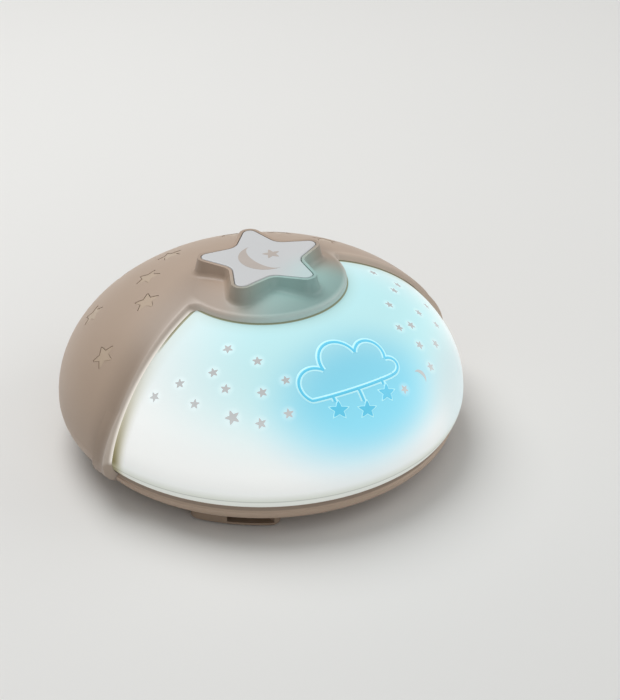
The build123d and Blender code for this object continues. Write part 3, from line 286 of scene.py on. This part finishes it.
# on the right, in the side light, the painted shadow line runs farther down
to_right = {"Value": lens_axes["X"], "From Min": 0.0, "From Max": 0.020, "To Min": 0.0, "To Max": 0.014}
drop = add(frosted, "ShaderNodeMapRange", to_right).outputs["Result"]
line_height = add(frosted, "ShaderNodeMath", {0: height, 1: drop}, operation="ADD").outputs[0]
upper = {"Value": line_height, "From Min": 0.058, "From Max": 0.066}
line_there = add(frosted, "ShaderNodeMapRange", upper, interpolation_type="SMOOTHSTEP").outputs["Result"]
painted_gap_shadow = add(frosted, "ShaderNodeMath", {0: line_here, 1: line_there}, operation="MULTIPLY").outputs[0]
shadow = add(frosted, "ShaderNodeMath", {0: shade, 1: painted_gap_shadow}, operation="MAXIMUM").outputs[0]
# the painted light yellows before it dies into the painted shade
fade = {0: shadow, 6: light.outputs[2], 7: linear("#7A6F34")}
faded = add(frosted, "ShaderNodeMix", fade, data_type="RGBA")
dark = add(frosted, "ShaderNodeMath", {0: shadow, 1: 3.0}, operation="POWER").outputs[0]
lit = add(frosted, "ShaderNodeMix", {0: dark, 6: faded.outputs[2], 7: linear("#1C1806")}, data_type="RGBA")
# the painted shade also darkens the shell's own colour to olive
skin = add(frosted, "ShaderNodeMix", {0: shadow, 6: skin_painted_core_glow.outputs[2], 7: linear("#766A30")}, data_type="RGBA")
# painted light: towards its top the shell is farther from the lamps, and its painted glow dims a little
top = {"Value": height, "From Min": 0.040, "From Max": 0.066, "To Min": 1.0, "To Max": 0.70}
dim = add(frosted, "ShaderNodeMapRange", top, interpolation_type="SMOOTHSTEP").outputs["Result"]
# painted shade: so it does where it tucks into the rim
tuck = {"Value": height, "From Min": 0.019, "From Max": 0.032, "To Min": 0.78, "To Max": 1.0}
low = add(frosted, "ShaderNodeMapRange", tuck, interpolation_type="SMOOTHSTEP").outputs["Result"]
dim = add(frosted, "ShaderNodeMath", {0: dim, 1: low}, operation="MULTIPLY").outputs[0]
lamplight = add(frosted, "ShaderNodeVectorMath", {0: lit.outputs[2], "Scale": dim}, operation="SCALE")
# low at the right, away from the lamps, the painted light is cooler
away = near(frosted, FAR_SPOT, inner=0.006, outer=0.038, level=0.85)
cooler = {0: away, 6: lamplight.outputs["Vector"], 7: linear("#94A5A8")}
cooled = add(frosted, "ShaderNodeMix", cooler, data_type="RGBA").outputs[2]
# towards its foot the painted light yellows, and a fine dark line of painted shade is drawn where its seat
# begins
foot = {"Value": height, "From Min": 0.0225, "From Max": SEAT_Z, "To Max": 0.85}
at_foot = add(frosted, "ShaderNodeMapRange", foot, interpolation_type="SMOOTHSTEP").outputs["Result"]
seat = {"Value": height, "From Min": SEAT_Z, "From Max": SEAT_Z - SEAT_LINE, "To Min": 1.0, "To Max": 0.6}
in_seat = add(frosted, "ShaderNodeMapRange", seat).outputs["Result"]
yellow = add(frosted, "ShaderNodeMath", {0: at_foot, 1: in_seat}, operation="MULTIPLY").outputs[0]
yellower = {0: yellow, 6: cooled, 7: linear("#8A8A79")}
yellowed = add(frosted, "ShaderNodeMix", yellower, data_type="RGBA").outputs[2]
line_at = {0: height, 1: SEAT_Z, 2: SEAT_LINE / 2}
painted_seat_shade = add(frosted, "ShaderNodeMath", line_at, operation="COMPARE").outputs[0]
lined = {0: painted_seat_shade, 6: yellowed, 7: linear("#5C5648")}
lamps = add(frosted, "ShaderNodeMix", lined, data_type="RGBA").outputs[2]
frosted.node_tree.links.new(skin.outputs[2], glow.inputs["Base Color"])
dress(frosted, "diffuser_dome")

# Star marks: small grey stars and a crescent printed on the dome, which mask the light.
# A thin film of grey ink, standing just proud of the shell.
HUB = Vector((0.0, DOME_Y, WAIST_Z))
INK_PROUD = 0.00008
HALO = 0.0018
HALO_LIGHT = 0.45
PLATE_SIDES = 40
STAR_POINTS = 5
STAR_PHASE = 0.25
STAR_NOTCH = 0.46
STAR_CURVE = 1.6
CRESCENT_HOLLOW = 0.5
# each star is turned by so many degrees for each degree of its bearing, so that neighbours differ
STAR_SPIN = 7
# each mark's bearing from the front in degrees, and its height and reach in millimetres
MARKS = [
    (-52.3, 66.1, 2.2), (-37.9, 64.1, 2.2), (-55.0, 60.7, 2.2), (-65.8, 56.3, 2.2), (-48.8, 57.3, 2.2),
    (-35.8, 56.9, 2.2), (-72.4, 50.8, 2.3), (-58.0, 52.1, 2.2), (-27.0, 59.6, 2.0), (-45.0, 49.9, 3.2),
    (-36.2, 48.5, 2.4), (-27.5, 51.0, 2.2), (74.6, 65.4, 2.0), (69.3, 60.4, 2.0), (61.3, 62.5, 2.0),
    (45.9, 63.9, 2.0), (63.8, 51.9, 2.0), (52.9, 56.3, 2.0), (54.2, 49.4, 2.2), (40.7, 58.0, 2.2),
    (34.1, 60.2, 2.0), (34.0, 53.7, 2.2), (42.1, 49.2, 2.2), (30.3, 47.2, 2.2), (13.9, 47.7, 2.0),
]
MOON = (22.8, 47.5, 3.4)
MOON_TURN = 200
film = {"Roughness": 0.5, "IOR": 1.48, "Emission Color": linear("#A6AAAA")}
ink = finish("grey_ink", "#8E8D8D", "#9A9999", 6, 0.4, 0.004, film)
ink_shader = ink.node_tree.nodes["Principled BSDF"]
ink_where = ink.node_tree.nodes["Texture Coordinate"].outputs["Object"]
ink_height = add(ink, "ShaderNodeSeparateXYZ", {"Vector": ink_where}).outputs["Z"]
# painted light: the ink glows with the lamplight behind it, less towards the top
thin = {"Value": ink_height, "From Min": 0.046, "From Max": 0.062, "To Min": 0.95, "To Max": 0.55}
through = add(ink, "ShaderNodeMapRange", thin).outputs["Result"]
ink.node_tree.links.new(through, ink_shader.inputs["Emission Strength"])


def lens_point(bearing, height):
    """Point on the dome, seen from its hub, at a bearing from the front and a height in metres."""
    a = math.radians(bearing)
    ring = LENS_R * math.sqrt(1 - ((height - WAIST_Z) / LENS_RISE) ** 2)
    return Vector((ring * math.sin(a), -ring * math.cos(a), height - WAIST_Z))


def on_lens(mesh, bearing, height, turn=0.0):
    """Bends a flat drawing onto the dome, with its origin at a bearing and a height."""
    a = math.radians(bearing)
    spot = lens_point(bearing, height)

    def outward(p):
        return Vector((p.x / LENS_R**2, p.y / LENS_R**2, p.z / LENS_RISE**2)).normalized()

    side = Vector((math.cos(a), math.sin(a), 0.0))
    rise = outward(spot).cross(side)
    spin = Matrix.Rotation(math.radians(turn), 2)
    for v in mesh.vertices:
        u, w = spin @ Vector((v.co.x, v.co.y))
        p = spot + side * u + rise * w
        p /= math.sqrt((p.x**2 + p.y**2) / LENS_R**2 + p.z**2 / LENS_RISE**2)
        v.co = HUB + p + outward(p) * v.co.z


def plate(name, shape, proud=INK_PROUD):
    """Thin plate, half of it below the surface, with the outline that shape gives to a ring of vertices."""
    bm = bmesh.new()
    ring = bmesh.ops.create_circle(bm, cap_ends=True, segments=PLATE_SIDES, radius=1.0)["verts"]
    for k, v in enumerate(ring):
        v.co.xy = shape(k / PLATE_SIDES, v.co.xy)
    top = bmesh.ops.extrude_face_region(bm, geom=bm.faces[:])["geom"]
    raised = [g for g in top if isinstance(g, bmesh.types.BMVert)]
    bmesh.ops.translate(bm, verts=raised, vec=(0, 0, 2 * proud))
    bmesh.ops.translate(bm, verts=bm.verts[:], vec=(0, 0, -proud))
    bmesh.ops.triangulate(bm, faces=bm.faces[:])
    bmesh.ops.recalc_face_normals(bm, faces=bm.faces[:])
    mesh = bpy.data.meshes.new(name)
    bm.to_mesh(mesh)
    bm.free()
    return mesh


def star_shape(reach):
    """Outline of a five-pointed star whose tips lie reach metres out."""

    def shape(share, point):
        step = abs((share * STAR_POINTS + STAR_PHASE) % 1.0 - 0.5) * 2
        return point.normalized() * reach * (STAR_NOTCH + (1 - STAR_NOTCH) * step**STAR_CURVE)

    return shape


def crescent_shape(reach):
    """Outline of a crescent moon that opens to the right."""

    def shape(share, point):
        return Vector((point.x * (-CRESCENT_HOLLOW if point.x > 0 else 1.0), point.y)) * reach

    return shape


def join(name, meshes, material, body):
    """Joins laid-out meshes into one finished piece that rides on a body."""
    bm = bmesh.new()
    for mesh in meshes:
        bm.from_mesh(mesh)
        bpy.data.meshes.remove(mesh)
    whole = bpy.data.meshes.new(name)
    bm.to_mesh(whole)
    bm.free()
    whole.materials.append(material)
    piece = bpy.data.objects.new(name, whole)
    bpy.context.scene.collection.objects.link(piece)
    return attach(piece, body)


marks = []
ringed = 0.0
for bearing, height_mm, reach_mm in MARKS:
    z, reach = height_mm / 1000, reach_mm / 1000
    mark = plate("mark", star_shape(reach))
    on_lens(mark, bearing, z, STAR_SPIN * bearing)
    marks.append(mark)
    spot = HUB + lens_point(bearing, z)
    gap = add(frosted, "ShaderNodeVectorMath", {0: where, 1: spot}, operation="DISTANCE").outputs["Value"]
    ring = {"Value": gap, "From Min": reach / 2, "From Max": reach + HALO}
    ring |= {"To Min": HALO_LIGHT, "To Max": 0.0}
    painted_ring_light = add(frosted, "ShaderNodeMapRange", ring, interpolation_type="SMOOTHSTEP").outputs["Result"]
    ringed = add(frosted, "ShaderNodeMath", {0: ringed, 1: painted_ring_light}, operation="MAXIMUM").outputs[0]
# painted light: a pale ring in the shell's glow round each star
halo = add(frosted, "ShaderNodeMix", {0: ringed, 6: lamps, 7: linear("#C4D0D2")}, data_type="RGBA")
frosted.node_tree.links.new(halo.outputs[2], glow.inputs["Emission Color"])
bearing, height_mm, reach_mm = MOON
moon = plate("mark", crescent_shape(reach_mm / 1000))
on_lens(moon, bearing, height_mm / 1000, MOON_TURN)
marks.append(moon)
join("dome_star_marks", marks, ink, "housing")

# Cloud drawing: a cloud with stars hanging from it, moulded into the front of the dome
# as a fine raised line; the blue light it pipes is painted light in its emission, and its low flanks are
# given a paler painted glow.
LINE_W = 0.0014
LINE_FLATNESS = 0.35
LINE_STAR_R = 0.0042
FLANK_W = 0.0006
FLANK_FLATNESS = 0.10
FLANK_STAR_R = 0.0049
CLOUD_BEARING = -3
CLOUD_Z = 0.0580
# strokes in millimetres: start, end, and how far each arches over its chord
STROKES = [
    ((-9, 5), (-20, -6), -8),
    ((-9, 5), (8, 8), 9),
    ((8, 8), (20, 1), 7),
    ((20, 1), (20, -7), 5),
    ((20, -7), (-20, -6), 0.6),
]
HANGING_STARS = [(-11, -13.5), (1, -17.5), (13, -13.5)]
STRING_TOP = -7
STRING_END = 4.2
STRING_BOW = 0.1
# handle lengths that bend each half of a stroke into a quarter of an ellipse
END_PULL = 0.55
TOP_PULL = 0.276
piping = {"Roughness": 0.3, "IOR": 1.58, "Emission Color": linear("#3F94AB"), "Emission Strength": 1.0}
piped = finish("light_piping_line", "#4FA3BF", "#57ABC7", 8, 0.6, 0.004, piping)
line = bpy.data.curves.new("cloud_line", "CURVE")
line.dimensions = "3D"
line.bevel_resolution = 3
line.use_fill_caps = True


def arch(start, end, rise):
    """One arched stroke from start to end in millimetres, standing rise high over its chord."""
    a, b = Vector((*start, 0)) / 1000, Vector((*end, 0)) / 1000
    chord = b - a
    up = Vector((-chord.y, chord.x, 0)).normalized() * rise / 1000
    stroke = line.splines.new("BEZIER")
    stroke.bezier_points.add(2)
    stops = (a, (a + b) / 2 + up, b)
    pulls = (up * END_PULL, chord * TOP_PULL, -up * END_PULL)
    for point, stop, pull in zip(stroke.bezier_points, stops, pulls):
        point.handle_left_type = point.handle_right_type = "FREE"
        point.co = stop
        point.handle_left = stop - pull
        point.handle_right = stop + pull


for start, end, rise in STROKES:
    arch(start, end, rise)
for x, y in HANGING_STARS:
    arch((x, STRING_TOP), (x, y + STRING_END), STRING_BOW)


def drawing(half_width, flatness, star_reach):
    """Meshes of the line and its stars, laid on the dome, with the line half_width wide to each side."""
    line.bevel_depth = half_width
    sketch = bpy.data.objects.new("cloud_sketch", line)
    bpy.context.scene.collection.objects.link(sketch)
    bpy.context.view_layer.update()
    seen = sketch.evaluated_get(bpy.context.evaluated_depsgraph_get())
    cloud = bpy.data.meshes.new_from_object(seen)
    bpy.data.objects.remove(sketch)
    for v in cloud.vertices:
        v.co.z *= flatness
    meshes = [cloud]
    for x, y in HANGING_STARS:
        star = plate("hanging_star", star_shape(star_reach), flatness * half_width)
        for v in star.vertices:
            v.co.xy += Vector((x, y)) / 1000
        meshes.append(star)
    for mesh in meshes:
        on_lens(mesh, CLOUD_BEARING, CLOUD_Z)
    return meshes


join("cloud_drawing", drawing(LINE_W / 2, LINE_FLATNESS, LINE_STAR_R), piped, "housing")
shine = {"Roughness": 0.4, "IOR": 1.58, "Emission Color": linear("#7FB0BA"), "Emission Strength": 1.0}
flank = finish("line_flank", "#A9CDD2", "#B0D4D9", 8, 0.6, 0.004, shine)
join("cloud_flanks", drawing(LINE_W / 2 + FLANK_W, FLANK_FLATNESS, FLANK_STAR_R), flank, "housing")

# Hood: the beige shell over the back, with a round lobe that carries the star's collar.
# Moulded ABS a shade darker than the base, screwed to it. The dome's light on it is painted:
# a blue-green wash in the colour of the lobe's front, and a glow on the rolled edge.
WASH_SPOT = (0.005, -0.038, 0.071)
hood_skin = {"Roughness": 0.4, "IOR": 1.54, "Emission Color": linear("#CDCDC9")}
hood_abs = finish("hood_abs", "#AD9784", "#B6A08D", 55, 0.8, 0.012, hood_skin)
hood_shader = hood_abs.node_tree.nodes["Principled BSDF"]
hood_tone = hood_abs.node_tree.nodes["tone"].outputs[2]
hood_where = hood_abs.node_tree.nodes["Texture Coordinate"].outputs["Object"]
# painted light: the dome's blue-green light mixed into the colour of the lobe's front
lobe_painted_wash = near(hood_abs, WASH_SPOT, inner=0.018, outer=0.048, level=0.95)
lobe_washed_tone = add(hood_abs, "ShaderNodeMix", {0: lobe_painted_wash, 6: hood_tone, 7: linear("#9BC1BC")}, data_type="RGBA")
arc, lobe = behind_edge(hood_abs)
edge_depth = add(hood_abs, "ShaderNodeMath", {0: arc, 1: lobe}, operation="MAXIMUM").outputs[0]
# painted shade: the hood darkens towards its front edge
roll_off = {"Value": edge_depth, "From Min": 0.001, "From Max": 0.017, "To Min": 0.76, "To Max": 1.0}
shaded = add(hood_abs, "ShaderNodeMapRange", roll_off, interpolation_type="SMOOTHSTEP").outputs["Result"]
# the right end faces the side light, and is kept clear of the painted shade
hood_axes = add(hood_abs, "ShaderNodeSeparateXYZ", {"Vector": hood_where}).outputs
far_end = {"Value": hood_axes["X"], "From Min": 0.015, "From Max": 0.045}
plain_end = add(hood_abs, "ShaderNodeMapRange", far_end, interpolation_type="SMOOTHSTEP").outputs["Result"]
kept = add(hood_abs, "ShaderNodeMath", {0: shaded, 1: plain_end}, operation="MAXIMUM").outputs[0]
skin_tone = add(hood_abs, "ShaderNodeVectorMath", {0: lobe_washed_tone.outputs[2], "Scale": kept}, operation="SCALE")
hood_abs.node_tree.links.new(skin_tone.outputs["Vector"], hood_shader.inputs["Base Color"])
# painted light on the rolled edge left of the dome, brightest at its inner side; the lobe's edge is fainter
from_hub = add(hood_abs, "ShaderNodeVectorMath", {0: hood_where, 1: HUB}, operation="SUBTRACT")
by_axes = {0: from_hub.outputs["Vector"], 1: (1 / LENS_R, 1 / LENS_R, 1 / LENS_RISE)}
scaled = add(hood_abs, "ShaderNodeVectorMath", by_axes, operation="MULTIPLY").outputs["Vector"]
layer = add(hood_abs, "ShaderNodeVectorMath", {0: scaled}, operation="LENGTH").outputs["Value"]
edges = []
# each row: what is measured, where the edge is dark, where it is bright, and its least and most light
for spans in (
    [
        (arc, 0.0016, 0.0002, 0.0, 1.0),
        (lobe, 0.000, -0.005, 0.0, 1.0),
        (layer, 1.030, 1.005, 0.25, 1.0),
        (hood_axes["X"], 0.02, -0.02, 0.15, 1.0),
        (hood_axes["Z"], 0.0185, 0.0225, 0.0, 1.0),
    ],
    [(lobe, 0.0025, 0.0002, 0.0, 0.24), (arc, 0.004, -0.004, 0.0, 1.0)],
):
    lit_edge = 1.0
    for value, dark_end, bright_end, least, most in spans:
        span = {"Value": value, "From Min": dark_end, "From Max": bright_end}
        span |= {"To Min": least, "To Max": most}
        part = add(hood_abs, "ShaderNodeMapRange", span, interpolation_type="SMOOTHSTEP").outputs["Result"]
        lit_edge = add(hood_abs, "ShaderNodeMath", {0: lit_edge, 1: part}, operation="MULTIPLY").outputs[0]
    edges.append(lit_edge)
edge_light = add(hood_abs, "ShaderNodeMath", dict(enumerate(edges)), operation="MAXIMUM").outputs[0]
hood_abs.node_tree.links.new(edge_light, hood_shader.inputs["Emission Strength"])
dress(hood_abs, "rear_cover")

# Star windows: stars of tinted acrylic let into the hood. The faint yellow light of the
# projector's lamp behind them is painted into their emission.
window_painted_glow = {"Roughness": 0.34, "IOR": 1.49, "Emission Color": linear("#38352A"), "Emission Strength": 0.5}
window = finish("tinted_acrylic", "#B19C87", "#BAA590", 5, 0.5, 0.004, window_painted_glow)
dress(window, "star_windows")

# Star button: a satin white ABS cap, flush with its collar, pad-printed with a crescent
# in warm grey. The mode switch's knob is moulded from the same white.
CAP_SPOT = (0.012, -0.028, 0.0825)
FILM_PROUD = 0.00004
BADGE_R = 0.0112
BADGE_AT = (0.0010, 0.0)
SPARK_R = 0.0040
SPARK_AT = (0.0048, 0.0006)
cap_abs = finish("satin_white_abs", "#C9CACB", "#D0D1D2", 30, 0.8, 0.008, {"Roughness": 0.38, "IOR": 1.54})
cap_tone = cap_abs.node_tree.nodes["tone"].outputs[2]
# painted light: the dome's blue-green light mixed into the colour of the cap's front
cap_painted_wash = near(cap_abs, CAP_SPOT, inner=0.004, outer=0.026, level=0.8)
cap_washed_tone = add(cap_abs, "ShaderNodeMix", {0: cap_painted_wash, 6: cap_tone, 7: linear("#BFD8D8")}, data_type="RGBA")
cap_shader = cap_abs.node_tree.nodes["Principled BSDF"]
cap_abs.node_tree.links.new(cap_washed_tone.outputs[2], cap_shader.inputs["Base Color"])
dress(cap_abs, "star_button", "mode_switch_knob")
print_ink = finish("warm_grey_print", "#B4A9A1", "#BDB3AB", 8, 0.5, 0.003, {"Roughness": 0.45, "IOR": 1.48})
cap_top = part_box("star_button")[1].z
badge = plate("badge", crescent_shape(BADGE_R), FILM_PROUD)
spark = plate("spark", star_shape(SPARK_R), FILM_PROUD)
for mesh, (x, y) in ((badge, BADGE_AT), (spark, SPARK_AT)):
    for v in mesh.vertices:
        v.co += Vector((x, DOME_Y + y, cap_top))
join("cap_crescent", [badge, spark], print_ink, "star")

# Door screws' drives: cross recesses struck into the heads. They are drawn as a thin
# dark inlay in each head's face, painted shade for the dark inside the recesses.
HEAD_R = 0.0026
DRIVE_REACH = 0.0017
DRIVE_HALF_W = 0.0004
recess_shade_steel = finish("shaded_drive", "#343536", "#3E3F40", 3, 0.3, 0.004, {"Roughness": 0.55, "Metallic": 1.0})


def cross_shape(share, point):
    """Outline of a cross recess, with arms along X and Y."""
    off_arm = math.radians(abs((math.degrees(math.atan2(point.y, point.x)) + 45) % 90 - 45))
    return point.normalized() * min(DRIVE_REACH, DRIVE_HALF_W / max(math.sin(off_arm), 0.01))


drives = []
heads_low, heads_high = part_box("door_screws")
for y in (heads_low.y + HEAD_R, heads_high.y - HEAD_R):
    drive = plate("drive", cross_shape, FILM_PROUD)
    for v in drive.vertices:
        v.co += Vector((0.0, y, heads_low.z))
    drives.append(drive)
join("door_screw_drives", drives, recess_shade_steel, "door")

# Studio: a plain pale floor, soft light from above, the front and the side, and a pale
# surround.
FLOOR_HALF = 8.0
FLOOR_NEAR, FLOOR_END = 0.35, 1.3
floor_mesh = bpy.data.meshes.new("floor")
bm = bmesh.new()
bmesh.ops.create_grid(bm, x_segments=8, y_segments=8, size=FLOOR_HALF)
bm.to_mesh(floor_mesh)
bm.free()
floor = bpy.data.objects.new("floor", floor_mesh)
bpy.context.scene.collection.objects.link(floor)
FAR = linear("#DCDBD8")
sheet = finish("pale_floor", "#E6E5E2", "#EAE9E6", 400, 4, 0.02, {"Roughness": 0.6})
# away from the object the eye sees the floor run out into the plain surround
close = near(sheet, (0.0, 0.0, 0.0), inner=FLOOR_NEAR, outer=FLOOR_END)
eye_ray = add(sheet, "ShaderNodeLightPath").outputs["Is Camera Ray"]
unseen = add(sheet, "ShaderNodeMath", {0: 1.0, 1: eye_ray}, operation="SUBTRACT").outputs[0]
lit_floor = add(sheet, "ShaderNodeMath", {0: close, 1: unseen}, operation="MAXIMUM").outputs[0]
plain = add(sheet, "ShaderNodeEmission", {"Color": FAR})
floor_shader = sheet.node_tree.nodes["Principled BSDF"]
ground = {0: lit_floor, 1: plain.outputs["Emission"], 2: floor_shader.outputs["BSDF"]}
run_out = add(sheet, "ShaderNodeMixShader", ground)
sheet_end = sheet.node_tree.nodes["Material Output"]
sheet.node_tree.links.new(run_out.outputs["Shader"], sheet_end.inputs["Surface"])
floor_mesh.materials.append(sheet)
world = bpy.data.worlds.new("surround")
world.use_nodes = True
sky = world.node_tree.nodes["Background"]
sky.inputs["Color"].default_value = linear("#F2F4F6")
sky.inputs["Strength"].default_value = 0.36
# what the eye, gloss and clear plastic see of the surround is as pale as the floor
pale_far = add(world, "ShaderNodeBackground", {"Color": FAR})
rays = add(world, "ShaderNodeLightPath").outputs
eye_or_gloss = {0: rays["Is Camera Ray"], 1: rays["Is Glossy Ray"]}
direct = add(world, "ShaderNodeMath", eye_or_gloss, operation="MAXIMUM")
straight = {0: direct.outputs[0], 1: rays["Is Transmission Ray"]}
seen = add(world, "ShaderNodeMath", straight, operation="MAXIMUM").outputs[0]
both = {0: seen, 1: sky.outputs["Background"], 2: pale_far.outputs["Background"]}
surround = add(world, "ShaderNodeMixShader", both)
world_end = world.node_tree.nodes["World Output"]
world.node_tree.links.new(surround.outputs["Shader"], world_end.inputs["Surface"])
bpy.context.scene.world = world
bpy.context.scene.view_settings.view_transform = "Standard"
AIM = Vector((0.01583, -0.01312, 0.0374))
# each lamp's place and its disc's diameter in metres, and its watts
LAMPS = {
    "overhead": ((-0.05, 0.55, 1.05), 0.9, 8.8),
    "front_fill": ((-0.25, -1.20, 0.40), 0.9, 2.0),
    "side_fill": ((1.0, -0.4, 0.6), 0.9, 2.4),
}
for name, (spot, size, power) in LAMPS.items():
    lamp = bpy.data.lights.new(name, "AREA")
    lamp.shape = "DISK"
    lamp.size = size
    lamp.energy = power
    holder = bpy.data.objects.new(name, lamp)
    holder.location = spot
    holder.rotation_mode = "QUATERNION"
    holder.rotation_quaternion = (AIM - Vector(spot)).to_track_quat("-Z", "Y")
    bpy.context.scene.collection.objects.link(holder)

# Camera: at the photograph's view, 31 degrees above the floor, from the front left,
# with a long lens.
AZIMUTH = math.radians(-36.5)
ELEVATION = math.radians(31.0)
DISTANCE = 0.8
camera = bpy.data.cameras.new("camera")
camera.lens = 95.5
camera.sensor_width = 36.0
camera.clip_start = 0.05
camera.clip_end = 20.0
eye = bpy.data.objects.new("camera", camera)
back = Vector(
    (
        math.sin(AZIMUTH) * math.cos(ELEVATION),
        -math.cos(AZIMUTH) * math.cos(ELEVATION),
        math.sin(ELEVATION),
    )
)
eye.location = AIM + back * DISTANCE
eye.rotation_mode = "QUATERNION"
eye.rotation_quaternion = (-back).to_track_quat("-Z", "Y")
bpy.context.scene.collection.objects.link(eye)
bpy.context.scene.camera = eye
